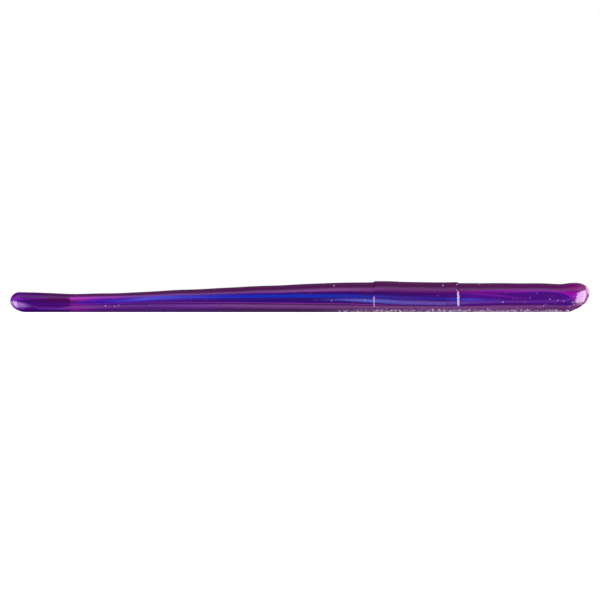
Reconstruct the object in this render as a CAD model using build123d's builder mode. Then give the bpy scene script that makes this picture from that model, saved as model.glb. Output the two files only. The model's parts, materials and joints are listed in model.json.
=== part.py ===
"""Straight-tail soft plastic fishing worm, poured in three layers and cut into five links that bend.

Frame: +X runs from the tail to the nose, +Z is up, and the flat pouring face lies on Z = 0.
The origin is under the middle of the worm. Sizes are in millimetres.
"""

from build123d import *
import math
import os
from collections import namedtuple

# ---- the whole worm ----
length = 152.4
tail_x = -length / 2
nose_x = length / 2

# ---- heights and widths of the body, from the tail forwards ----
paddle_height, paddle_width = 5.2, 4.6
neck_height, neck_width = 4.8, 4.4
shoulder_height, shoulder_width = 7.95, 7.7
head_height, head_width = 7.7, 7.5

paddle_from_tail = 6.0
neck_from_tail = 19.0

# ---- section: a flat foot, rounded lower corners, the widest place, then a half-ellipse ----
foot_share = 0.5  # flat foot's width over the section's width
waist_share = 0.45  # height of the widest place over the section's height

# ---- rounded tips: height of the tip, and how far back each side's curve reaches ----
tail_tip_height, nose_tip_height = 2.9, 5.2
tail_top_reach, nose_top_reach = 2.4, 3.6
tail_chin_reach, nose_chin_reach = 5.0, 7.4
tail_side_reach, nose_side_reach = 2.8, 4.6
tip_blunt = 0.1  # each tip ends in a small flat, where its curve is this far from closing
tip_section_steps = (0.0, 0.15, 0.4, 0.8, 1.4, 2.2, 3.2, 4.4, 5.8, 7.4)

# ---- collar: the raised egg-sac band moulded round the body ----
collar_from_nose = 34.6
collar_length = 22.1
collar_raise = 0.28
collar_front_x = nose_x - collar_from_nose
collar_rear_x = collar_front_x - collar_length

# ---- thumb dishes: a shallow hollow in each side of the tail ----
dish_from_tail = 11.7
dish_length = 7.4
dish_depth = 0.35

# ---- the coloured core between the back pour and the belly pour ----
core_tail_from_tail = 15.2
core_nose_from_nose = 4.7
core_tail_height, core_nose_height = 2.3, 3.0
core_top_at_tail, core_foot_at_tail = 3.7, 2.3  # where the core has opened out behind the neck
core_top_at_waist, core_foot_at_waist = 5.1, 2.6
core_top_at_collar, core_foot_at_collar = 5.2, 2.2
core_top_at_head, core_foot_at_head = 5.0, 2.5

# ---- bend stations ----
knuckle_clearance = 0.25
Bend = namedtuple("Bend", "from_tail swing sideways")
bends = (
    Bend(from_tail=88.2, swing=25, sideways=True),
    Bend(from_tail=64.2, swing=30, sideways=True),
    Bend(from_tail=40.2, swing=35, sideways=True),
    Bend(from_tail=19.2, swing=40, sideways=False),
)
link_names = ("head", "fore", "mid", "rear", "tail")

# ---- glitter: hexagonal foil flakes cast inside the back pour ----
flake_width = 0.4
flake_thickness = 0.1
flake_depth = 0.35  # from the worm's skin to the flake's outer face
flake_pitch = 2.6  # one flake for each of these along the worm
flake_end_margin = 2.4  # none is nearer than this to a tip
flake_joint_margin = 5.2  # none is nearer than this to a hinge axis
flake_core_margin = 0.8  # none is nearer than this to the core
flake_crown_angle = 78  # highest place on the side, in degrees from level
golden_share = (math.sqrt(5) - 1) / 2

beyond = length  # a size that is past the worm in every direction


# ---------------------------------------------------------------- outer shape


def between(x, places):
    """Straight-line value at x between (place, value) pairs in order, level past the ends."""
    if x <= places[0][0]:
        return places[0][1]
    for (x0, v0), (x1, v1) in zip(places, places[1:]):
        if x <= x1:
            return v0 + (v1 - v0) * (x - x0) / (x1 - x0)
    return places[-1][1]


def closing(x, tail_reach, nose_reach):
    """Share of full size left at x where a tip closes in a quarter of an ellipse."""
    from_tip, reach = (x - tail_x, tail_reach) if x < 0 else (nose_x - x, nose_reach)
    inward = min(from_tip + tip_blunt, reach)
    return math.sqrt(1 - ((reach - inward) / reach) ** 2)


def girth_places(paddle, neck, shoulder, head):
    """The stations that set a girth, in order along the worm."""
    return (
        (tail_x + paddle_from_tail, paddle),
        (tail_x + neck_from_tail, neck),
        (collar_rear_x, shoulder),
        (collar_front_x, head),
    )


def tip_height(x):
    return tail_tip_height if x < 0 else nose_tip_height


def top_at(x):
    full = between(x, girth_places(paddle_height, neck_height, shoulder_height, head_height))
    return tip_height(x) + (full - tip_height(x)) * closing(x, tail_top_reach, nose_top_reach)


def foot_at(x):
    return tip_height(x) * (1 - closing(x, tail_chin_reach, nose_chin_reach))


def width_at(x):
    full = between(x, girth_places(paddle_width, neck_width, shoulder_width, head_width))
    return full * closing(x, tail_side_reach, nose_side_reach)


def waist_at(x):
    return foot_at(x) + waist_share * (top_at(x) - foot_at(x))


def section(x, swell=0.0):
    """Sketch of the worm's section at x, swollen outwards and upwards by swell."""
    foot, waist, top = foot_at(x), waist_at(x), top_at(x) + swell
    half = width_at(x) / 2 + swell
    foot_half = foot_share * width_at(x) / 2
    corner = (half - foot_half, waist - foot)
    with BuildSketch(Plane.YZ.offset(x)) as profile:
        with BuildLine():
            Line((-foot_half, foot), (foot_half, foot))
            EllipticalCenterArc((foot_half, waist), *corner, start_angle=270, arc_size=90)
            EllipticalCenterArc((0, waist), half, top - waist, start_angle=0, arc_size=180)
            EllipticalCenterArc((-foot_half, waist), *corner, start_angle=180, arc_size=90)
        make_face()
    return profile.sketch


def run_through(outline):
    """Solid with this outline that runs right through the worm, both ways from its plane."""
    with BuildPart() as solid:
        extrude(outline, amount=beyond, both=True)
    return solid.part


tail_tip_places = [tail_x + step for step in tip_section_steps]
nose_tip_places = [nose_x - step for step in reversed(tip_section_steps)]
neck_x = tail_x + neck_from_tail

with BuildPart() as rear_form:
    loft([section(x) for x in tail_tip_places + [neck_x, collar_rear_x]], ruled=True)

with BuildPart() as collar_form:
    loft([section(x, swell=collar_raise) for x in (collar_rear_x, collar_front_x)], ruled=True)

with BuildPart() as head_form:
    loft([section(x) for x in [collar_front_x] + nose_tip_places], ruled=True)

dish_x = tail_x + dish_from_tail
dish_radius = ((dish_length / 2) ** 2 + dish_depth**2) / (2 * dish_depth)
dish_axis_y = width_at(dish_x) / 2 - dish_depth + dish_radius

with BuildPart() as worm_form:
    add(rear_form.part)
    add(collar_form.part)
    add(head_form.part)
    with Locations((dish_x, dish_axis_y, 0), (dish_x, -dish_axis_y, 0)):
        Cylinder(dish_radius, beyond, mode=Mode.SUBTRACT)


# ---------------------------------------------------------------- bend stations


def bend_x(bend):
    return tail_x + bend.from_tail


def knuckle_radius(bend):
    """Half the worm's width where it bends sideways, or half its height where it bends upwards."""
    x = bend_x(bend)
    return width_at(x) / 2 if bend.sideways else (top_at(x) - foot_at(x)) / 2


def knuckle_plane(bend):
    """Plane square to the hinge axis, with its origin on the axis and its X forwards."""
    x = bend_x(bend)
    if bend.sideways:
        return Plane(origin=(x, 0, 0), x_dir=(1, 0, 0), z_dir=(0, 0, 1))
    middle = (top_at(x) + foot_at(x)) / 2
    return Plane(origin=(x, 0, middle), x_dir=(1, 0, 0), z_dir=(0, -1, 0))


def trim_to_knob(bend):
    """Ends the current part forwards in the round knob that turns in the next link's socket."""
    with BuildSketch(knuckle_plane(bend)) as kept:
        with Locations((-beyond / 2, 0)):
            Rectangle(beyond, beyond)
        Circle(knuckle_radius(bend))
    add(run_through(kept.sketch), mode=Mode.INTERSECT)


def trim_to_socket(bend):
    """Ends the current part backwards in a hollow for the knob, short enough for the full swing."""
    lip = knuckle_radius(bend) * math.sin(math.radians(bend.swing)) + knuckle_clearance
    with BuildSketch(knuckle_plane(bend)) as removed:
        with Locations((lip - beyond / 2, 0)):
            Rectangle(beyond, beyond)
        Circle(knuckle_radius(bend) + knuckle_clearance)
    add(run_through(removed.sketch), mode=Mode.SUBTRACT)


links = {}
for number, name in enumerate(link_names):
    with BuildPart() as link:
        add(worm_form.part)
        if number > 0:
            trim_to_knob(bends[number - 1])
        if number < len(bends):
            trim_to_socket(bends[number])
    links[name] = link.part


# ---------------------------------------------------------------- pours

core_tail = (tail_x + core_tail_from_tail, core_tail_height)
core_nose = (nose_x - core_nose_from_nose, core_nose_height)
core_stations = (
    (neck_x + 8.0, core_top_at_tail, core_foot_at_tail),
    ((neck_x + collar_rear_x) / 2 + 5.0, core_top_at_waist, core_foot_at_waist),
    ((collar_rear_x + collar_front_x) / 2, core_top_at_collar, core_foot_at_collar),
    (nose_x - 13.0, core_top_at_head, core_foot_at_head),
)
core_roof = [core_tail, *((x, top) for x, top, _ in core_stations), core_nose]
core_floor = [core_tail, *((x, foot) for x, _, foot in core_stations), core_nose]
behind, ahead = -beyond, beyond


def core_region():
    with BuildSketch(Plane.XZ) as region:
        with BuildLine():
            Polyline(*core_roof)
            Polyline(*core_floor)
        make_face()
    return region.sketch


def outer_region(edge_points, height):
    """From the core's roof up to height, or from its floor down to it, and on past both tips."""
    with BuildSketch(Plane.XZ) as region:
        with BuildLine():
            Polyline(
                (behind, core_tail_height),
                *edge_points,
                (ahead, core_nose_height),
                (ahead, height),
                (behind, height),
                close=True,
            )
        make_face()
    return region.sketch


pour_regions = {
    "back_pour": outer_region(core_roof, beyond),
    "core": core_region(),
    "belly_pour": outer_region(core_floor, -beyond),
}


# ---------------------------------------------------------------- glitter


def flake_places(rear_x, front_x):
    """Places between rear_x and front_x, one at each pitch, on alternate sides of the worm.

    Each is (x, side, angle), and the angle climbs from the core's edge by the golden share.
    """
    for count in range(int((front_x - rear_x) / flake_pitch) + 1):
        x = rear_x + count * flake_pitch
        side = 1 if count % 2 else -1
        rise = (between(x, core_roof) + flake_core_margin - waist_at(x)) / (top_at(x) - waist_at(x))
        lowest = math.degrees(math.asin(max(rise, 0.0)))
        angle = lowest + (flake_crown_angle - lowest) * (count * golden_share % 1)
        yield x, side, angle


def flake_plane(x, side, angle):
    """Plane of a flake's outer face: square to the skin, and sunk in it by flake_depth."""
    across, up = width_at(x) / 2, top_at(x) - waist_at(x)
    c, s = math.cos(math.radians(angle)), math.sin(math.radians(angle))
    outward = Vector(0, side * c / across, s / up).normalized()
    skin = Vector(x, side * across * c, waist_at(x) + up * s)
    return Plane(origin=skin - outward * flake_depth, x_dir=(1, 0, 0), z_dir=outward)


def add_flake(place):
    with BuildSketch(flake_plane(*place)) as outline:
        RegularPolygon(flake_width / 2, 6, major_radius=False)
    extrude(outline.sketch, amount=-flake_thickness)


# ---------------------------------------------------------------- pieces and files


def flake_span(number):
    """The stretch of a link that holds glitter, clear of its knuckles and of the worm's tips."""
    is_tail, is_head = number == len(bends), number == 0
    rear = tail_x + flake_end_margin if is_tail else bend_x(bends[number]) + flake_joint_margin
    front = nose_x - flake_end_margin if is_head else bend_x(bends[number - 1]) - flake_joint_margin
    return rear, front


os.makedirs("parts", exist_ok=True)

for number, name in enumerate(link_names):
    with BuildPart() as glitter:
        for place in flake_places(*flake_span(number)):
            add_flake(place)
    glitter.part.label = f"{name}_glitter"
    export_step(glitter.part, f"parts/{name}_glitter.step")

    for pour_name, region in pour_regions.items():
        with BuildPart() as pour:
            add(links[name])
            add(run_through(region), mode=Mode.INTERSECT)
            if pour_name == "back_pour":
                add(glitter.part, mode=Mode.SUBTRACT)
        pour.part.label = f"{name}_{pour_name}"
        export_step(pour.part, f"parts/{name}_{pour_name}.step")
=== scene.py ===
"""Looks for the straight-tail soft plastic worm: layered translucent pours, glitter, bubbles, a rough edge.

Frame: +X runs from the tail to the nose, +Z is up, and the flat belly lies on Z = 0. Everything is in metres.
Heights inside a section are shares of that section's height, from 0 at the belly to 1 at the crown.
"""

import json
import math
from collections import namedtuple

import bmesh
import bpy
import numpy as np
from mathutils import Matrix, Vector, noise


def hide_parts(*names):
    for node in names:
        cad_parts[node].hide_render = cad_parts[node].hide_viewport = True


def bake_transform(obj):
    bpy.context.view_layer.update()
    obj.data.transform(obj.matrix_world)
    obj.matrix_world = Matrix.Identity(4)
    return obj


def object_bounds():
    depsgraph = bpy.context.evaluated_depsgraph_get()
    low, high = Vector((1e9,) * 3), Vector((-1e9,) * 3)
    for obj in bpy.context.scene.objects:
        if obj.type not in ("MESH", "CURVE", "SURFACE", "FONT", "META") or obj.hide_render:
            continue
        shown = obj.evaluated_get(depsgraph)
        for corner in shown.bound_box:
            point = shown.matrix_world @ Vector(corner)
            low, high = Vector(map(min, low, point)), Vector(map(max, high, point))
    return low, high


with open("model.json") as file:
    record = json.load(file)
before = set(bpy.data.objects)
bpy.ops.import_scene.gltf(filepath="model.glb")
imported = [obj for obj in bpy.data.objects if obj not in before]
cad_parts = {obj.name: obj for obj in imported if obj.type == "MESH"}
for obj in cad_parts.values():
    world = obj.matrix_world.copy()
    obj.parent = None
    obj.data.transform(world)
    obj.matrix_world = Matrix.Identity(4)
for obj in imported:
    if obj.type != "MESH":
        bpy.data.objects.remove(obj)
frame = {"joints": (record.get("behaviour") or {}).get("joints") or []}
cad_low, cad_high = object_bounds()

MM = 0.001
tail_x, nose_x = cad_low[0], cad_high[0]
length = nose_x - tail_x

# ---------------------------------------------------------------- outline of the worm
# Each curve is a list of (millimetres from the tail, value).

CROWN = (
    (0, 5.25), (6, 5.20), (9.5, 5.08), (17.5, 4.82), (25, 4.94), (45, 5.87), (68, 6.98), (84, 7.65),
    (92, 7.87), (99, 7.85), (106, 7.65), (118, 7.60), (128, 7.67), (139, 7.58), (144.5, 7.42),
    (148, 7.74), (152.4, 7.75),
)
GIRTH = ((0, 4.6), (6, 4.6), (19, 4.4), (95, 7.7), (118, 7.5), (152.4, 7.5))
CORE_ROOF = (
    (0, 0.48), (15.2, 0.48), (18.6, 0.62), (26, 0.745), (40, 0.765), (61, 0.735), (82, 0.70), (107, 0.64),
    (124, 0.65), (132, 0.655), (140, 0.71), (143.6, 0.70), (145.7, 0.63), (147.5, 0.46), (149, 0.2),
    (152.4, 0.2),
)
CORE_FLOOR = (
    (0, 0.48), (15.2, 0.48), (18.6, 0.43), (26, 0.43), (34, 0.44), (47, 0.405), (61, 0.365), (76, 0.30),
    (88, 0.28), (94, 0.235), (115, 0.215), (122, 0.245), (131, 0.28), (141, 0.28), (149, 0.2),
    (152.4, 0.2),
)
CORE_TAIL, CORE_NOSE = 15.2, 149.0

TAIL_TIP, NOSE_TIP = 2.9, 5.2  # height of each tip
TOP_REACH = (2.4, 3.6)  # how far back each rounding reaches, at the tail and at the nose
CHIN_REACH = (4.3, 7.4)
SIDE_REACH = (2.8, 4.6)
FOOT_SHARE, WAIST_SHARE = 0.5, 0.45

COLLAR_REAR, COLLAR_FRONT = 95.7, 117.8
COLLAR_RAISE = 0.28
COLLAR_STEP = 0.7

DISH_REAR, DISH_FRONT = 7.6, 15.5
DISH_MIDDLE, DISH_HALF = 0.66, 0.2
DISH_DEPTH = 0.12

FROST_REAR, FROST_FRONT = 83.0, 150.0  # the stretch where the pour's edge is rough
FROST_HEIGHT = 0.75
FROST_LIFT = 0.22

STATION_STEP = 0.3
SIDE_STEPS = {"back": 44, "core": 34, "belly": 34}
FLOOR_STEPS = 16


def from_tail(x):
    return (x - tail_x) / MM


def smoothstep(t):
    t = np.clip(t, 0.0, 1.0)
    return t * t * (3 - 2 * t)


def curve(points):
    """Function that runs smoothly through the points and never overshoots them."""
    xs, ys = (np.array(values, float) for values in zip(*points))
    slopes = np.diff(ys) / np.diff(xs)
    tangents = np.zeros(len(xs))
    for i in range(1, len(xs) - 1):
        before, after = slopes[i - 1], slopes[i]
        if before * after > 0:
            tangents[i] = 2 * before * after / (before + after)

    def value(x):
        i = np.clip(np.searchsorted(xs, x) - 1, 0, len(xs) - 2)
        step = xs[i + 1] - xs[i]
        t = np.clip((x - xs[i]) / step, 0, 1)
        return (
            ys[i] * (1 + 2 * t) * (1 - t) ** 2
            + ys[i + 1] * t * t * (3 - 2 * t)
            + step * (tangents[i] * t * (1 - t) ** 2 - tangents[i + 1] * t * t * (1 - t))
        )

    return value


crown_at, girth_at = curve(CROWN), curve(GIRTH)
roof_at, floor_at = curve(CORE_ROOF), curve(CORE_FLOOR)


def closing(x, reaches):
    """Share of full size left at x, where each tip closes in a quarter of an ellipse."""
    total = length / MM
    tail = np.clip(x / reaches[0], 0, 1)
    nose = np.clip((total - x) / reaches[1], 0, 1)
    return math.sqrt(1 - (1 - tail) ** 2) * math.sqrt(1 - (1 - nose) ** 2)


def wobble(x, phase):
    """Slow, slight unevenness of a hand-poured casting, in millimetres."""
    return 0.03 * math.sin(x / 3.1 + phase) + 0.02 * math.sin(x / 1.7 + 2.3 * phase)


class Section:
    """The worm's outline at one station, in millimetres."""

    def __init__(self, x):
        tip = TAIL_TIP if x < length / MM / 2 else NOSE_TIP
        behind, ahead = (
            smoothstep((x - edge) / COLLAR_STEP + 0.5) for edge in (COLLAR_REAR, COLLAR_FRONT)
        )
        swell = COLLAR_RAISE * (behind - ahead)
        self.x = x
        self.foot = tip * (1 - closing(x, CHIN_REACH))
        self.top = tip + (crown_at(x) + wobble(x, 0.4) - tip) * closing(x, TOP_REACH) + swell
        self.half = (girth_at(x) / 2 + wobble(x, 1.9)) * closing(x, SIDE_REACH) + swell
        self.foot_half = FOOT_SHARE * self.half
        self.waist = self.foot + WAIST_SHARE * (self.top - self.foot)
        self.roof, self.floor = (self.angle(share(x)) for share in (roof_at, floor_at))

    def angle(self, share):
        """Angle on the side, from -90 degrees at the foot to 90 at the crown, of a share of the height."""
        over_waist = share - WAIST_SHARE
        reach = 1 - WAIST_SHARE if over_waist > 0 else WAIST_SHARE
        return math.asin(max(-1.0, min(1.0, over_waist / reach)))

    def side_point(self, angle, side):
        """Point on the skin at an angle, on side 1 or -1."""
        if angle > 0:
            y = self.half * math.cos(angle)
            z = self.waist + (self.top - self.waist) * math.sin(angle)
        else:
            y = self.foot_half + (self.half - self.foot_half) * math.cos(angle)
            z = self.waist + (self.waist - self.foot) * math.sin(angle)
        return self.dished(y, z) * side, z

    def dished(self, y, z):
        """Width after the thumb dish in each side of the tail, which ends sharply at its front."""
        if not DISH_REAR < self.x < DISH_FRONT + 0.8:
            return y
        along = smoothstep((self.x - DISH_REAR) / 5.0) * (1 - smoothstep((self.x - DISH_FRONT) / 0.8))
        across = abs(self.share(z) - DISH_MIDDLE) / DISH_HALF
        return y - DISH_DEPTH * along * (1 - smoothstep(across))

    def share(self, z):
        return (z - self.foot) / max(self.top - self.foot, 1e-6)


def stations(rear, front):
    """Places from rear to front, closer together at the tips and at the collar's steps."""
    total = length / MM
    places = set()
    count = math.ceil((front - rear) / STATION_STEP)
    places.update(rear + (front - rear) * i / count for i in range(count + 1))
    tip_length, tip_count = 8.0, 44
    for i in range(tip_count):
        near = tip_length * (i / tip_count) ** 2
        places.update((near, total - near))
    for step in (COLLAR_REAR, COLLAR_FRONT, DISH_FRONT + 0.25):
        places.update(step + COLLAR_STEP * (i / 10 - 0.5) for i in range(11))
    places.update((CORE_TAIL, CORE_NOSE))
    kept = []
    for place in sorted(p for p in places if rear - 1e-9 <= p <= front + 1e-9):
        if not kept or place - kept[-1] > 0.004:
            kept.append(place)
    return kept


# ---------------------------------------------------------------- pieces of skin


def spread(a, b, count):
    return [a + (b - a) * i / count for i in range(count + 1)]


def side_strip(section, low, high, count, side):
    return [section.side_point(angle, side) for angle in spread(low, high, count)]


def back_ring(section):
    """The back pour's section: over the crown from one side's boundary to the other's."""
    right = side_strip(section, section.roof, math.pi / 2, SIDE_STEPS["back"], 1)
    left = side_strip(section, section.roof, math.pi / 2, SIDE_STEPS["back"], -1)
    return right + left[::-1][1:]


def core_ring(section):
    right = side_strip(section, section.floor, section.roof, SIDE_STEPS["core"], 1)
    left = side_strip(section, section.floor, section.roof, SIDE_STEPS["core"], -1)
    return right + left[::-1]


def belly_ring(section):
    """The belly pour's section: down one side, across the flat belly and up the other side."""
    right = side_strip(section, -math.pi / 2, section.floor, SIDE_STEPS["belly"], 1)
    left = side_strip(section, -math.pi / 2, section.floor, SIDE_STEPS["belly"], -1)
    flat = [(y, section.foot) for y in spread(-section.foot_half, section.foot_half, FLOOR_STEPS)][1:-1]
    return left[::-1] + flat + right


def roughened(x, y, z):
    """Where the open pour's edge is rough: crumbs lift the belly's rim a little off the flat."""
    along = smoothstep((x - FROST_REAR) / 6) * (1 - smoothstep((x - FROST_FRONT) / 2 + 1))
    low = 1 - smoothstep(z / FROST_HEIGHT)
    if along * low <= 0:
        return y, z
    coarse = noise.noise(Vector((x * 2.1, y * 2.1, z * 2.1)))
    fine = noise.noise(Vector((x * 5.3, y * 5.3, 9.0)))
    push = along * low * (coarse + 0.6 * fine)
    return y * (1 + 0.03 * push), z + FROST_LIFT * max(push, 0.0)


RINGS = {"back": back_ring, "core": core_ring, "belly": belly_ring}


def hidden_edges(layer):
    """Ring steps that are inner faces, where one pour meets the next."""
    count = SIDE_STEPS[layer]
    return {count, 2 * count + 1} if layer == "core" else {len(RINGS[layer](Section(50.0))) - 1}


def skin(name, layer, rear, front, material):
    """Closed mesh of one layer between two places.

    It stores which faces show, and each point's place at rest, distance from the tail and share of height.
    """
    if layer == "core":
        rear, front = max(rear, CORE_TAIL), min(front, CORE_NOSE)
    places = stations(rear, front)
    sections = [Section(x) for x in places]
    rings = [RINGS[layer](section) for section in sections]
    size = len(rings[0])
    points, heights = [], []
    for section, ring in zip(sections, rings):
        for y, z in ring:
            heights.append(section.share(z))
            if layer == "belly":
                y, z = roughened(section.x, y, z)
            points.append((tail_x + section.x * MM, y * MM, z * MM))
    faces = []
    hidden = hidden_edges(layer)
    outer = []
    for i in range(len(rings) - 1):
        for j in range(size):
            k = (j + 1) % size
            a, b = i * size, (i + 1) * size
            faces.append((a + j, b + j, b + k, a + k))
            outer.append(j not in hidden)
    faces.append(tuple(range(size)))
    faces.append(tuple((len(rings) - 1) * size + j for j in reversed(range(size))))
    outer += [False, False]

    mesh = bpy.data.meshes.new(name)
    mesh.from_pydata(points, [], faces)
    mesh.attributes.new("outer", "BOOLEAN", "FACE").data.foreach_set("value", outer)
    mesh.attributes.new("rest", "FLOAT_VECTOR", "POINT").data.foreach_set("vector", np.ravel(points))
    mesh.attributes.new("along", "FLOAT", "POINT").data.foreach_set("value", np.repeat(places, size))
    mesh.attributes.new("height", "FLOAT", "POINT").data.foreach_set("value", heights)
    piece = bpy.data.objects.new(name, mesh)
    bpy.context.scene.collection.objects.link(piece)
    piece.data.materials.append(material)
    tidy_mesh(mesh)
    return piece


def tidy_mesh(mesh):
    """Joins doubled points, turns faces outwards, shades smooth and keeps the pour boundaries crisp."""
    work = bmesh.new()
    work.from_mesh(mesh)
    bmesh.ops.remove_doubles(work, verts=work.verts, dist=1e-7)
    bmesh.ops.dissolve_degenerate(work, edges=work.edges, dist=1e-8)
    bmesh.ops.recalc_face_normals(work, faces=work.faces)
    marks = work.faces.layers.bool.get("outer")
    for face in work.faces:
        face.smooth = True
    for edge in work.edges:
        kinds = {face[marks] for face in edge.link_faces}
        edge.smooth = len(kinds) == 1
    work.to_mesh(mesh)
    work.free()


# ---------------------------------------------------------------- node helpers


def srgb(red, green, blue):
    """Linear colour from the 0 to 255 values of a colour chart."""
    linear = []
    for value in (red, green, blue):
        share = value / 255
        linear.append(share / 12.92 if share <= 0.04045 else ((share + 0.055) / 1.055) ** 2.4)
    return (*linear, 1.0)


def fill_inputs(tree, node, inputs):
    """Sets each input to a value, or joins it to another node's output."""
    for name, value in inputs.items():
        if isinstance(value, bpy.types.NodeSocket):
            tree.links.new(value, node.inputs[name])
        else:
            node.inputs[name].default_value = value


def place(tree, kind, inputs=None, **settings):
    """Adds a node with its settings and its inputs."""
    node = tree.nodes.new(kind)
    for name, value in settings.items():
        setattr(node, name, value)
    fill_inputs(tree, node, inputs or {})
    return node


def math_node(tree, operation, a, b=0.0):
    return place(tree, "ShaderNodeMath", {0: a, 1: b}, operation=operation).outputs[0]


def mix_colour(tree, share, a, b, blend="MIX"):
    colours = {"Factor": share, 6: a, 7: b}  # the colour sockets share their names with other types' sockets
    return place(tree, "ShaderNodeMix", colours, data_type="RGBA", blend_type=blend).outputs[2]


def ramp(tree, driver, stops, interpolation="EASE"):
    """Colour ramp with its stops given as (place, colour)."""
    node = place(tree, "ShaderNodeValToRGB", {0: driver})
    node.color_ramp.interpolation = interpolation
    elements = node.color_ramp.elements
    while len(elements) < len(stops):
        elements.new(0.5)
    for element, (position, colour) in zip(elements, stops):
        element.position = position
        element.color = colour
    return node.outputs["Color"]


def attribute(tree, name, output="Fac"):
    return place(tree, "ShaderNodeAttribute", attribute_name=name).outputs[output]


def along_share(tree):
    """The place along the worm from 0 at the tail to 1 at the nose."""
    return math_node(tree, "DIVIDE", attribute(tree, "along"), length / MM)


def at_mm(value):
    return value / (length / MM)


def along_ramp(tree, along, stops):
    """Ramp along the worm, with its stops given as (millimetres from the tail, colour)."""
    return ramp(tree, along, [(at_mm(x), colour) for x, colour in stops], "LINEAR")


def group(name, inputs, outputs):
    """New shader node group, with its input and output nodes."""
    tree = bpy.data.node_groups.new(name, "ShaderNodeTree")
    for socket, kind, default in inputs:
        made = tree.interface.new_socket(socket, in_out="INPUT", socket_type=kind)
        made.default_value = default
    for socket, kind in outputs:
        tree.interface.new_socket(socket, in_out="OUTPUT", socket_type=kind)
    return tree, tree.nodes.new("NodeGroupInput").outputs, tree.nodes.new("NodeGroupOutput").inputs


def use_group(tree, made, inputs):
    return place(tree, "ShaderNodeGroup", inputs, node_tree=made).outputs


# ---------------------------------------------------------------- shader groups


def streak_group():
    """Lays one soft-edged streak over a colour: pigment in the pours, or a painted highlight, reflection or
    shade.

    Path holds the streak's middle height in red, its half-thickness in green and its strength in blue.
    """
    tree, given, result = group(
        "Pigment and painted light streak",
        [
            ("Base", "NodeSocketColor", (0, 0, 0, 1)),
            ("Streak", "NodeSocketColor", (1, 1, 1, 1)),
            ("Height", "NodeSocketFloat", 0.5),
            ("Path", "NodeSocketColor", (0.5, 0.1, 1, 1)),
        ],
        [("Color", "NodeSocketColor")],
    )
    path = place(tree, "ShaderNodeSeparateColor", {0: given["Path"]}).outputs
    away = math_node(tree, "ABSOLUTE", math_node(tree, "SUBTRACT", given["Height"], path[0]))
    fade = place(
        tree,
        "ShaderNodeMapRange",
        {"Value": away, "From Min": 0.0, "From Max": path[1], "To Min": 1.0, "To Max": 0.0},
        interpolation_type="SMOOTHERSTEP",
    ).outputs[0]
    share = math_node(tree, "MULTIPLY", fade, path[2])
    tree.links.new(mix_colour(tree, share, given["Base"], given["Streak"]), result["Color"])
    return tree


def wander_group():
    """Moves a height up and down a little along the worm, as pours wander, and gives a fine grain."""
    tree, given, result = group(
        "Pour wander",
        [
            ("Height", "NodeSocketFloat", 0.5),
            ("Wander", "NodeSocketFloat", 0.02),
            ("Grain Size", "NodeSocketFloat", 5000.0),
        ],
        [("Height", "NodeSocketFloat"), ("Grain", "NodeSocketFloat")],
    )
    rest = attribute(tree, "rest", "Vector")
    stretched = place(tree, "ShaderNodeMapping", {"Vector": rest, "Scale": (70, 260, 260)}).outputs[0]
    slow = place(tree, "ShaderNodeTexNoise", {"Vector": stretched, "Scale": 1.0, "Detail": 3.0}).outputs[0]
    drift = math_node(tree, "MULTIPLY", math_node(tree, "SUBTRACT", slow, 0.5), given["Wander"])
    tree.links.new(math_node(tree, "ADD", given["Height"], drift), result["Height"])
    drawn = place(tree, "ShaderNodeMapping", {"Vector": rest, "Scale": (0.55, 1, 1)}).outputs[0]
    grain = place(tree, "ShaderNodeTexNoise", {"Vector": drawn, "Scale": given["Grain Size"], "Detail": 2.0})
    tree.links.new(grain.outputs[0], result["Grain"])
    return tree


STREAK, WANDER = streak_group(), wander_group()


def streak(tree, base, colour, height, along, path):
    """Streak with its path as (millimetres from the tail, middle height, half-thickness, strength)."""
    stops = [(x, (middle, half, strength, 1)) for x, middle, half, strength in path]
    table = along_ramp(tree, along, stops)
    return use_group(tree, STREAK, {"Base": base, "Streak": colour, "Height": height, "Path": table})["Color"]


# ---------------------------------------------------------------- materials


GLOSS_ROUGHNESS = 0.16


def plastisol(name):
    """Glossy soft plastic with no colour yet: its node tree and its shader's inputs."""
    material = bpy.data.materials.new(name)
    material.use_nodes = True
    tree = material.node_tree
    shader = tree.nodes["Principled BSDF"]
    shader.inputs["Roughness"].default_value = GLOSS_ROUGHNESS
    shader.inputs["IOR"].default_value = 1.47
    return material, tree, shader.inputs


def wandering(tree, wander, grain_size):
    """The height as the pours wander up and down, and a fine grain."""
    height = attribute(tree, "height")
    return use_group(tree, WANDER, {"Height": height, "Wander": wander, "Grain Size": grain_size})


def cast(tree, shader, colour, richness, brightness):
    """Gives the shader its colour, and slight, slow ripples that bend the reflections.

    The colour is strengthened to stand against the pale haze that the gloss lays over it.
    """
    amounts = {"Saturation": richness, "Value": brightness, "Color": colour}
    deepened = place(tree, "ShaderNodeHueSaturation", amounts).outputs[0]
    tree.links.new(deepened, shader["Base Color"])
    rest = attribute(tree, "rest", "Vector")
    stretched = place(tree, "ShaderNodeMapping", {"Vector": rest, "Scale": (0.35, 1, 1)}).outputs[0]
    noise_inputs = {"Vector": stretched, "Scale": 900.0, "Detail": 2.0}
    ripples = place(tree, "ShaderNodeTexNoise", noise_inputs).outputs[0]
    bump = place(tree, "ShaderNodeBump", {"Height": ripples, "Strength": 0.12, "Distance": 0.0001})
    tree.links.new(bump.outputs[0], shader["Normal"])


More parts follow.
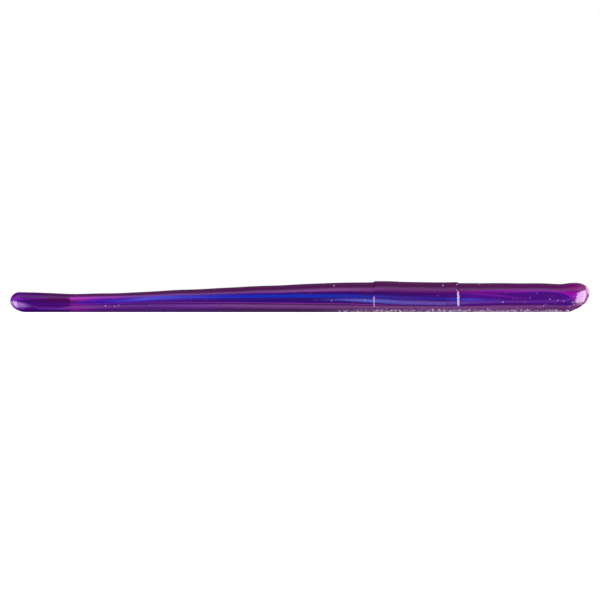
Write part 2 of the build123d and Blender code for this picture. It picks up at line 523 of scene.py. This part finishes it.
def back_material():
    material, tree, shader = plastisol("back_plastisol")
    along = along_share(tree)
    height = wandering(tree, 0.05, 3500.0)["Height"]
    # Base colour along the worm; it pales at the nose tip, where painted light shines through the thin tip.
    colour = along_ramp(tree, along, [
        (0, srgb(112, 30, 150)), (4, srgb(78, 22, 112)), (11, srgb(78, 26, 92)), (20, srgb(86, 36, 92)),
        (60, srgb(80, 28, 82)), (95, srgb(82, 30, 84)), (120, srgb(84, 32, 84)), (143, srgb(92, 30, 94)),
        (148.5, srgb(118, 28, 106)), (152, srgb(160, 80, 140)),
    ])
    crown = ramp(tree, height, [(0.9, (0, 0, 0, 1)), (1.0, (0.5, 0.5, 0.5, 1))], "LINEAR")
    colour = mix_colour(tree, crown, colour, srgb(98, 66, 106))
    colour = streak(tree, colour, srgb(66, 8, 116), height, along, [
        (0, 0.5, 0.12, 0.0), (4, 0.5, 0.17, 1.0), (13, 0.48, 0.18, 1.0), (15.4, 0.48, 0.16, 1.0),
        (15.8, 0.48, 0.16, 0.0), (152, 0.48, 0.1, 0.0),
    ])
    # Mauve streak high on the sides: a magenta seam in the pour with a painted highlight of the overhead
    # light over it; at the tail tip it is a painted highlight, and at the nose painted light shining through
    # the thin tip.
    mauve_sheen = along_ramp(tree, along, [
        (0, srgb(150, 70, 200)), (4, srgb(112, 50, 165)), (10, srgb(116, 46, 132)),
        (15.2, srgb(120, 44, 128)), (15.8, srgb(178, 66, 192)), (24, srgb(160, 62, 190)),
        (34, srgb(128, 62, 160)), (47, srgb(114, 60, 150)), (60, srgb(110, 50, 140)),
        (76, srgb(126, 58, 140)), (88, srgb(134, 68, 150)), (100, srgb(112, 40, 128)),
        (116, srgb(110, 36, 124)), (125, srgb(128, 36, 156)), (140, srgb(132, 48, 160)),
        (146, srgb(156, 36, 178)), (150, srgb(160, 40, 176)), (152, srgb(190, 100, 190)),
    ])
    colour = streak(tree, colour, mauve_sheen, height, along, [
        (0, 0.6, 0.3, 0.9), (4, 0.68, 0.10, 0.8), (10, 0.74, 0.08, 0.8), (15.3, 0.76, 0.07, 0.7),
        (15.9, 0.73, 0.17, 1.0), (24, 0.75, 0.13, 1.0), (34, 0.78, 0.10, 0.9), (60, 0.76, 0.08, 0.9),
        (76, 0.755, 0.08, 1.0), (90, 0.75, 0.09, 0.9), (104, 0.72, 0.12, 0.7), (122, 0.70, 0.11, 1.0),
        (140, 0.735, 0.11, 1.0), (145, 0.66, 0.19, 1.0), (148, 0.52, 0.34, 1.0), (152, 0.4, 0.5, 1.0),
    ])
    # Dark streak in the tail's thumb dish: painted dark reflection, where the dish's flat face mirrors the
    # dark studio.
    colour = streak(tree, colour, srgb(80, 10, 78), height, along, [
        (7, 0.60, 0.02, 0.0), (10, 0.62, 0.11, 0.9), (15.4, 0.645, 0.13, 1.0), (15.7, 0.645, 0.13, 0.0),
        (152, 0.64, 0.02, 0.0),
    ])
    cast(tree, shader, colour, 1.07, 1.04)
    return material


def core_material():
    material, tree, shader = plastisol("core_pearl")
    along = along_share(tree)
    moved = wandering(tree, 0.05, 4200.0)
    height = moved["Height"]
    colour = along_ramp(tree, along, [
        (15, srgb(120, 28, 150)), (24, srgb(92, 22, 156)), (34, srgb(74, 20, 140)),
        (47, srgb(64, 16, 122)), (60, srgb(50, 8, 116)), (90, srgb(50, 8, 104)), (104, srgb(56, 7, 100)),
        (115, srgb(62, 8, 112)), (122, srgb(78, 10, 134)), (134, srgb(70, 8, 122)),
        (146, srgb(72, 10, 126)),
    ])
    # Pale periwinkle band under the blue: painted highlight where the pearl catches the light, brightest at
    # the collar.
    periwinkle_sheen = along_ramp(tree, along, [
        (78, srgb(48, 24, 140)), (88, srgb(92, 84, 186)), (94, srgb(92, 96, 196)),
        (103, srgb(96, 80, 178)), (107, srgb(104, 78, 172)), (115, srgb(104, 72, 166)),
        (121, srgb(98, 54, 156)), (131, srgb(102, 46, 152)), (140, srgb(102, 36, 148)),
        (146, srgb(112, 42, 152)),
    ])
    colour = streak(tree, colour, periwinkle_sheen, height, along, [
        (78, 0.44, 0.05, 0.0), (88, 0.423, 0.07, 0.9), (94, 0.39, 0.095, 1.0), (103, 0.32, 0.125, 1.0),
        (114, 0.295, 0.11, 1.0), (121.5, 0.345, 0.09, 1.0), (131, 0.36, 0.07, 0.9),
        (140, 0.366, 0.07, 0.9), (145, 0.41, 0.08, 0.9), (149, 0.42, 0.08, 0.5),
    ])
    # Blue pearl streak; its paler lavender stretches, most of all 30 to 50 mm from the tail, are painted
    # sheen of the pearl.
    pearl = along_ramp(tree, along, [
        (17, srgb(50, 8, 144)), (24, srgb(44, 22, 166)), (31, srgb(70, 50, 186)), (36, srgb(80, 74, 200)),
        (47, srgb(60, 56, 190)), (54, srgb(40, 46, 180)), (60, srgb(24, 40, 176)),
        (78, srgb(18, 46, 174)), (90, srgb(28, 42, 166)), (94, srgb(40, 44, 164)),
        (103, srgb(62, 40, 148)), (114, srgb(42, 34, 158)), (121, srgb(58, 66, 196)),
        (131, srgb(72, 30, 150)),
    ])
    colour = streak(tree, colour, pearl, height, along, [
        (16, 0.51, 0.08, 0.8), (24, 0.545, 0.11, 1.0), (31, 0.60, 0.15, 1.0), (36, 0.67, 0.16, 1.0),
        (47, 0.67, 0.14, 1.0), (60, 0.618, 0.125, 1.0), (76, 0.576, 0.115, 1.0), (88, 0.54, 0.105, 1.0),
        (94, 0.516, 0.095, 0.9), (103, 0.476, 0.09, 0.8), (114, 0.449, 0.075, 0.8),
        (121.5, 0.434, 0.06, 1.0), (131, 0.42, 0.045, 0.0),
    ])
    colour = streak(tree, colour, srgb(134, 46, 150), height, along, [
        (26, 0.44, 0.03, 0.0), (40, 0.43, 0.04, 0.8), (47, 0.415, 0.04, 0.9), (61, 0.375, 0.035, 1.0),
        (76, 0.312, 0.035, 1.0), (88, 0.29, 0.035, 1.0), (94, 0.26, 0.035, 1.0), (103, 0.245, 0.03, 0.0),
    ])
    colour = streak(tree, colour, srgb(120, 22, 150), height, along, [
        (118, 0.66, 0.04, 0.0), (121, 0.64, 0.05, 0.8), (128, 0.57, 0.05, 0.8), (134, 0.49, 0.045, 0.5),
        (137, 0.44, 0.04, 0.0),
    ])
    bright = math_node(tree, "ADD", math_node(tree, "MULTIPLY", moved["Grain"], 0.8), 0.6)
    grey = place(tree, "ShaderNodeCombineColor", {0: bright, 1: bright, 2: bright}).outputs[0]
    colour = mix_colour(tree, 1.0, colour, grey, "MULTIPLY")
    cast(tree, shader, colour, 1.01, 1.27)
    return material


def belly_material():
    material, tree, shader = plastisol("belly_plastisol")
    along = along_share(tree)
    height = wandering(tree, 0.04, 2600.0)["Height"]
    # Base colour along the worm; it pales at the nose tip, where painted light shines through the thin tip.
    colour = along_ramp(tree, along, [
        (0, srgb(132, 56, 184)), (4, srgb(68, 12, 120)), (13, srgb(70, 9, 112)),
        (15.5, srgb(84, 16, 116)), (16.5, srgb(118, 30, 140)), (24, srgb(88, 26, 122)),
        (36, srgb(80, 36, 120)), (50, srgb(82, 36, 116)), (62, srgb(80, 38, 98)), (95, srgb(84, 40, 94)),
        (125, srgb(92, 42, 108)), (144, srgb(84, 34, 104)), (149, srgb(116, 38, 112)),
        (152, srgb(170, 100, 160)),
    ])
    # Pale mauve band low on the sides: painted reflection of the white floor; at the tail tip it widens into
    # a painted highlight, and at the nose into painted light shining through the thin tip.
    mauve_sheen = along_ramp(tree, along, [
        (0, srgb(178, 132, 200)), (3.5, srgb(160, 108, 192)), (7, srgb(104, 42, 150)),
        (12, srgb(102, 48, 150)), (17, srgb(134, 64, 154)), (24, srgb(116, 60, 144)),
        (36, srgb(102, 52, 140)), (47, srgb(112, 60, 153)), (61, srgb(122, 70, 138)),
        (95, srgb(122, 68, 126)), (131, srgb(126, 66, 136)), (146, srgb(120, 58, 130)),
        (152, srgb(176, 130, 170)),
    ])
    colour = streak(tree, colour, mauve_sheen, height, along, [
        (0, 0.33, 0.32, 1.0), (3.5, 0.34, 0.22, 0.9), (5.6, 0.3, 0.12, 0.2), (8, 0.2, 0.11, 0.9),
        (13, 0.19, 0.11, 0.9), (17, 0.26, 0.14, 0.9), (24, 0.28, 0.13, 0.9), (36, 0.31, 0.12, 0.9),
        (47, 0.28, 0.13, 1.0), (61, 0.245, 0.12, 1.0), (76, 0.20, 0.11, 1.0), (94, 0.18, 0.10, 1.0),
        (103, 0.165, 0.09, 1.0), (121, 0.17, 0.09, 1.0), (134, 0.19, 0.1, 1.0), (146, 0.22, 0.1, 0.8),
        (152, 0.3, 0.3, 0.9),
    ])
    colour = streak(tree, colour, srgb(62, 8, 92), height, along, [
        (18, 0.42, 0.04, 0.0), (36, 0.40, 0.05, 0.8), (47, 0.385, 0.045, 1.0), (61, 0.345, 0.035, 0.9),
        (76, 0.28, 0.03, 0.6), (94, 0.235, 0.03, 0.8), (106, 0.225, 0.04, 0.9), (115, 0.225, 0.05, 0.9),
        (122, 0.25, 0.06, 1.0), (131, 0.27, 0.06, 1.0), (146, 0.27, 0.05, 0.6), (150, 0.25, 0.05, 0.0),
    ])
    frost_stretch = along_ramp(tree, along, [
        (FROST_REAR - 4, (0, 0, 0, 1)), (FROST_REAR + 8, (0.75, 0.75, 0.75, 1)), (100, (1, 1, 1, 1)),
        (138, (1, 1, 1, 1)), (148, (0.5, 0.5, 0.5, 1)), (150, (0, 0, 0, 1)),
    ])
    low = ramp(tree, attribute(tree, "height"), [
        (0.0, (1, 1, 1, 1)), (0.07, (0.85, 0.85, 0.85, 1)), (0.125, (0.25, 0.25, 0.25, 1)),
        (0.2, (0, 0, 0, 1)),
    ])
    rest = attribute(tree, "rest", "Vector")
    crumbs = place(tree, "ShaderNodeTexVoronoi", {"Vector": rest, "Scale": 2600.0}).outputs["Distance"]
    crumb = ramp(tree, crumbs, [(0.1, (1, 1, 1, 1)), (0.65, (0.15, 0.15, 0.15, 1))])
    frost = math_node(tree, "MULTIPLY", math_node(tree, "MULTIPLY", frost_stretch, low), crumb)
    colour = mix_colour(tree, frost, colour, srgb(178, 132, 188))
    rough = math_node(tree, "ADD", math_node(tree, "MULTIPLY", frost, 0.4), GLOSS_ROUGHNESS)
    tree.links.new(rough, shader["Roughness"])
    cast(tree, shader, colour, 1.03, 1.3)
    return material


def speck_material(name, stops, metallic, roughness):
    """Small specks whose colour changes from one to the next."""
    material, tree, shader = plastisol(name)
    tree.links.new(ramp(tree, attribute(tree, "tint"), stops), shader["Base Color"])
    shader["Metallic"].default_value = metallic
    shader["Roughness"].default_value = roughness
    return material


# ---------------------------------------------------------------- scattered specks


def scatter_tree():
    """Strews hexagonal flakes or round beads over the outer faces, as thick as the speckle attribute says."""
    tree = bpy.data.node_groups.new("Strewn specks", "GeometryNodeTree")
    inputs = (
        ("Geometry", "NodeSocketGeometry"), ("Density", "NodeSocketFloat"), ("Size", "NodeSocketFloat"),
        ("Size Spread", "NodeSocketFloat"), ("Sink", "NodeSocketFloat"), ("Round", "NodeSocketBool"),
        ("Seed", "NodeSocketInt"), ("Material", "NodeSocketMaterial"),
    )
    for name, kind in inputs:
        tree.interface.new_socket(name, in_out="INPUT", socket_type=kind)
    tree.interface.new_socket("Geometry", in_out="OUTPUT", socket_type="NodeSocketGeometry")
    given = tree.nodes.new("NodeGroupInput").outputs

    outer = place(tree, "GeometryNodeInputNamedAttribute", {"Name": "outer"}, data_type="BOOLEAN").outputs[0]
    thick = place(tree, "GeometryNodeInputNamedAttribute", {"Name": "speckle"}, data_type="FLOAT").outputs[0]
    density = math_node(tree, "MULTIPLY", given["Density"], thick)
    points = place(
        tree,
        "GeometryNodeDistributePointsOnFaces",
        {"Mesh": given["Geometry"], "Selection": outer, "Density": density, "Seed": given["Seed"]},
    ).outputs
    sunk = place(
        tree, "ShaderNodeVectorMath", {0: points["Normal"], "Scale": given["Sink"]}, operation="SCALE"
    ).outputs[0]
    settled = place(
        tree, "GeometryNodeSetPosition", {"Geometry": points["Points"], "Offset": sunk}
    ).outputs[0]
    flake = place(tree, "GeometryNodeMeshCircle", {"Vertices": 6, "Radius": 1.0}, fill_type="NGON").outputs[0]
    thin = place(
        tree,
        "GeometryNodeExtrudeMesh",
        {"Mesh": flake, "Offset Scale": 0.3},
    ).outputs[0]
    bead = place(tree, "GeometryNodeMeshIcoSphere", {"Radius": 1.0, "Subdivisions": 2}).outputs[0]
    shape = place(
        tree,
        "GeometryNodeSwitch",
        {"Switch": given["Round"], "False": thin, "True": bead},
        input_type="GEOMETRY",
    ).outputs[0]
    least = math_node(tree, "MULTIPLY", given["Size"], math_node(tree, "SUBTRACT", 1.0, given["Size Spread"]))
    most = math_node(tree, "MULTIPLY", given["Size"], math_node(tree, "ADD", 1.0, given["Size Spread"]))
    size = place(
        tree, "FunctionNodeRandomValue", {"Min": least, "Max": most, "Seed": given["Seed"]}, data_type="FLOAT"
    )
    for socket, value in (("Min", least), ("Max", most)):
        found = [s for s in size.inputs if s.name == socket and s.type == "VALUE"][0]
        tree.links.new(value, found)
    random_size = [s for s in size.outputs if s.type == "VALUE"][0]
    specks = place(
        tree,
        "GeometryNodeInstanceOnPoints",
        {
            "Points": settled,
            "Instance": shape,
            "Rotation": points["Rotation"],
            "Scale": random_size,
        },
    ).outputs[0]
    tint = place(tree, "FunctionNodeRandomValue", {"Seed": 7}, data_type="FLOAT")
    random_tint = [s for s in tint.outputs if s.type == "VALUE"][0]
    tinted = place(
        tree,
        "GeometryNodeStoreNamedAttribute",
        {"Geometry": specks, "Name": "tint", "Value": random_tint},
        data_type="FLOAT",
        domain="INSTANCE",
    ).outputs[0]
    real = place(tree, "GeometryNodeRealizeInstances", {"Geometry": tinted}).outputs[0]
    painted = place(
        tree, "GeometryNodeSetMaterial", {"Geometry": real, "Material": given["Material"]}
    ).outputs[0]
    tree.links.new(painted, tree.nodes.new("NodeGroupOutput").inputs["Geometry"])
    return tree


SCATTER = scatter_tree()


def strew(name, carriers, speckle, density, size, spread_share, sink, is_round, seed, material):
    """One mesh of specks over the carriers' outer faces. speckle(along, height) says how thick they lie."""
    meshes = []
    for number, carrier in enumerate(carriers):
        mesh = carrier.data.copy()
        along, height = np.zeros(len(mesh.vertices)), np.zeros(len(mesh.vertices))
        mesh.attributes["along"].data.foreach_get("value", along)
        mesh.attributes["height"].data.foreach_get("value", height)
        thickness = [speckle(a, h) for a, h in zip(along, height)]
        mesh.attributes.new("speckle", "FLOAT", "POINT").data.foreach_set("value", thickness)
        source = bpy.data.objects.new(name, mesh)
        bpy.context.scene.collection.objects.link(source)
        modifier = source.modifiers.new("Specks", "NODES")
        modifier.node_group = SCATTER
        settings = {
            "Density": float(density), "Size": size, "Size Spread": spread_share, "Sink": -sink,
            "Round": is_round, "Seed": seed + number, "Material": material,
        }
        for item in SCATTER.interface.items_tree:
            if item.in_out == "INPUT" and item.name in settings:
                modifier[item.identifier] = settings[item.name]
        bpy.context.view_layer.update()
        graph = bpy.context.evaluated_depsgraph_get()
        meshes.append(bpy.data.meshes.new_from_object(source.evaluated_get(graph)))
        bpy.data.objects.remove(source)
    joined = bpy.data.objects.new(name, meshes[0])
    bpy.context.scene.collection.objects.link(joined)
    for extra in meshes[1:]:
        work = bmesh.new()
        work.from_mesh(joined.data)
        work.from_mesh(extra)
        work.to_mesh(joined.data)
        work.free()
    return joined


# ---------------------------------------------------------------- lights, floor and camera

STUDIO_FILL = (0.8, 0.8, 0.8, 1)  # the soft light that comes from all round
STUDIO_GLOSS = (0.008, 0.008, 0.008, 1)  # how bright the dark studio is where the gloss mirrors it
MIRRORED_FLOOR = (0.2, 0.2, 0.2, 1)
SHADOW_REACH = (0.04, 0.25)  # from full shadow to plain white, going away from the worm


def softbox(name, direction, distance, size, brightness, lights_colour=True):
    """Area light in a direction from the worm, turned to face it.

    One that doesn't light colour shows only as a reflection on the gloss.
    """
    width, height = size
    light = bpy.data.lights.new(name, "AREA")
    light.shape = "RECTANGLE"
    light.size, light.size_y = width, height
    light.energy = brightness * width * height * math.pi
    lamp = bpy.data.objects.new(name, light)
    bpy.context.scene.collection.objects.link(lamp)
    toward = Vector(direction).normalized()
    lamp.location = toward * distance
    lamp.rotation_euler = toward.to_track_quat("Z", "Y").to_euler()
    lamp.visible_diffuse = lights_colour
    return lamp


def from_camera_side(turn, rise):
    """Direction that is turn degrees to the right of the camera's side, and rise degrees up."""
    turn, rise = math.radians(turn), math.radians(rise)
    return (math.sin(turn) * math.cos(rise), -math.cos(turn) * math.cos(rise), math.sin(rise))


def light_scene():
    softbox("nose_softbox", from_camera_side(62, 1), 0.8, (1.05, 1.0), 13.0, lights_colour=False)
    softbox("tail_softbox", from_camera_side(-60, -14), 0.8, (0.5, 0.7), 7.0, lights_colour=False)
    softbox("overhead_softbox", from_camera_side(0, 68), 0.7, (1.6, 0.34), 0.75)
    softbox("rear_nose_softbox", from_camera_side(125, 16), 0.9, (0.5, 0.5), 5.0, lights_colour=False)

    world = bpy.context.scene.world or bpy.data.worlds.new("World")
    bpy.context.scene.world = world
    world.use_nodes = True
    tree = world.node_tree
    ray = place(tree, "ShaderNodeLightPath").outputs
    studio = mix_colour(tree, ray["Is Glossy Ray"], STUDIO_FILL, STUDIO_GLOSS)
    seen = mix_colour(tree, ray["Is Camera Ray"], studio, (1, 1, 1, 1))
    tree.links.new(seen, tree.nodes["Background"].inputs["Color"])


def add_floor():
    mesh = bpy.data.meshes.new("floor")
    reach = 3.0
    corners = [(-reach, -reach, 0), (reach, -reach, 0), (reach, reach, 0), (-reach, reach, 0)]
    mesh.from_pydata(corners, [], [(0, 1, 2, 3)])
    floor = bpy.data.objects.new("floor", mesh)
    bpy.context.scene.collection.objects.link(floor)
    material = bpy.data.materials.new("white_paper")
    material.use_nodes = True
    tree = material.node_tree
    shader = tree.nodes["Principled BSDF"]
    shader.inputs["Roughness"].default_value = 0.9
    shader.inputs["Specular IOR Level"].default_value = 0.0
    ray = place(tree, "ShaderNodeLightPath").outputs
    paper = mix_colour(tree, ray["Is Glossy Ray"], (0.9, 0.9, 0.9, 1), MIRRORED_FLOOR)
    tree.links.new(paper, shader.inputs["Base Color"])
    spot = place(tree, "ShaderNodeTexCoord").outputs["Object"]
    squeezed = place(tree, "ShaderNodeMapping", {"Vector": spot, "Scale": (0.5, 1, 1)}).outputs[0]
    away = place(tree, "ShaderNodeVectorMath", {0: squeezed}, operation="LENGTH").outputs["Value"]
    whiteness = place(
        tree,
        "ShaderNodeMapRange",
        {
            "Value": away, "From Min": SHADOW_REACH[0], "From Max": SHADOW_REACH[1],
            "To Min": 0.3, "To Max": 1.0,
        },
    ).outputs[0]
    strength = math_node(tree, "MULTIPLY", ray["Is Camera Ray"], whiteness)
    periwinkle_sheen = place(tree, "ShaderNodeEmission", {"Color": (1, 1, 1, 1), "Strength": strength})
    both = place(tree, "ShaderNodeAddShader", {0: shader.outputs[0], 1: periwinkle_sheen.outputs[0]})
    tree.links.new(both.outputs[0], tree.nodes["Material Output"].inputs["Surface"])
    floor.data.materials.append(material)
    floor.visible_glossy = floor.visible_shadow = False  # light boxes below it still show on the gloss


def add_camera():
    """Side view square to the worm, from far off, so that it fills the frame's width."""
    view_width = 1.0363 * length
    aim = Vector((0.00005, 0, 0.0032))
    distance = 1.6
    data = bpy.data.cameras.new("camera")
    data.sensor_width = 36
    data.lens = data.sensor_width * distance / view_width
    data.clip_start, data.clip_end = 0.05, 20
    camera = bpy.data.objects.new("camera", data)
    bpy.context.scene.collection.objects.link(camera)
    camera.location = aim + Vector((0, -distance, 0))
    camera.rotation_euler = (math.pi / 2, 0, 0)
    bpy.context.scene.camera = camera


# ---------------------------------------------------------------- the worm, span by span

# Each span of skin crosses one hinge, and meets the next span halfway between their hinges. Places are in
# millimetres from the tail.
hinge_at = {joint["name"]: from_tail(joint["pos_m"][0]) for joint in frame["joints"]}


def halfway(first, second):
    return (hinge_at[first] + hinge_at[second]) / 2


NOSE_END = length / MM
FRONT_SEAM = halfway("front_bend", "middle_bend")
MIDDLE_SEAM = halfway("middle_bend", "rear_bend")
REAR_SEAM = halfway("rear_bend", "tail_lift")
LONG_BEND, SHORT_BEND = 12.0, 10.5  # how far a bend reaches to each side of its hinge

Span = namedtuple("Span", "name before after front rear hinge reach")
SPANS = (
    Span("head", "head", "fore", NOSE_END, FRONT_SEAM, "front_bend", LONG_BEND),
    Span("fore", "fore", "mid", FRONT_SEAM, MIDDLE_SEAM, "middle_bend", LONG_BEND),
    Span("mid", "mid", "rear", MIDDLE_SEAM, REAR_SEAM, "rear_bend", SHORT_BEND),
    Span("rear", "rear", "tail", REAR_SEAM, 0.0, "tail_lift", SHORT_BEND),
)


def speckle_flakes(along, height):
    """Flakes lie evenly over the whole worm."""
    return 1.0


def speckle_bubbles(along, height):
    """Bubbles lie thickest low on the head, and along the tail's lower side."""
    head = smoothstep((along - 122) / 16) * smoothstep(1 - abs(height - 0.3) / 0.5)
    tail = smoothstep(1 - abs(along - 35) / 14) * smoothstep(1 - abs(height - 0.36) / 0.06)
    return 0.06 + 1.1 * head + 5.0 * tail


def speckle_crumbs(along, height):
    """Crumbs lie along the rim of the belly, and a few under it."""
    stretch = smoothstep((along - FROST_REAR) / 12) * (1 - smoothstep((along - FROST_FRONT) / 4 + 1))
    on_the_flat = 0.15 if height < 1e-4 else 1.0
    return stretch * on_the_flat * (1 - smoothstep(height / 0.1))


def bend_and_name(piece, span, node_kind=None):
    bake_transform(piece)
    if node_kind:
        links = ["rear", "tail"] if span.name == "rear" else [span.name]
        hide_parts(*(f"{link}_{node_kind}" for link in links))


def build_worm():
    materials = {"back": back_material(), "core": core_material(), "belly": belly_material()}
    glitter = speck_material(
        "red_glitter",
        [(0.0, srgb(112, 12, 54)), (0.6, srgb(165, 18, 66)), (1.0, srgb(220, 46, 62))],
        metallic=0.5, roughness=0.3,
    )
    bubble = speck_material(
        "air_bubble",
        [(0.0, srgb(165, 105, 190)), (0.5, srgb(220, 190, 230)), (1.0, srgb(250, 245, 252))],
        metallic=0.0, roughness=0.2,
    )
    crumb = speck_material(
        "pour_crumb",
        [(0.0, srgb(150, 84, 170)), (0.5, srgb(205, 160, 216)), (1.0, srgb(250, 240, 252))],
        metallic=0.0, roughness=0.45,
    )
    node_kinds = {"back": "back_pour", "core": "core", "belly": "belly_pour"}
    for number, span in enumerate(SPANS):
        name = span.name
        skins = {
            layer: skin(f"{name}_{layer}_skin", layer, span.rear, span.front, materials[layer])
            for layer in RINGS
        }
        everywhere = list(skins.values())
        flakes = strew(
            f"{name}_flakes", everywhere, speckle_flakes, density=46000, size=0.15 * MM, spread_share=0.4,
            sink=0.03 * MM, is_round=False, seed=40 + 10 * number, material=glitter,
        )
        bubbles = strew(
            f"{name}_bubbles", everywhere, speckle_bubbles, density=260000, size=0.12 * MM, spread_share=0.6,
            sink=0.02 * MM, is_round=True, seed=43 + 10 * number, material=bubble,
        )
        for layer, piece in skins.items():
            bend_and_name(piece, span, node_kinds[layer])
        bend_and_name(flakes, span, "glitter")
        bend_and_name(bubbles, span)
        if name == "head":
            crumbs = strew(
                "head_crumbs", [skins["belly"]], speckle_crumbs, density=1.0e7, size=0.16 * MM,
                spread_share=0.5, sink=0.02 * MM, is_round=True, seed=91, material=crumb,
            )
            bend_and_name(crumbs, span)


add_camera()
light_scene()
add_floor()
build_worm()
bpy.context.scene.view_settings.view_transform = "Standard"
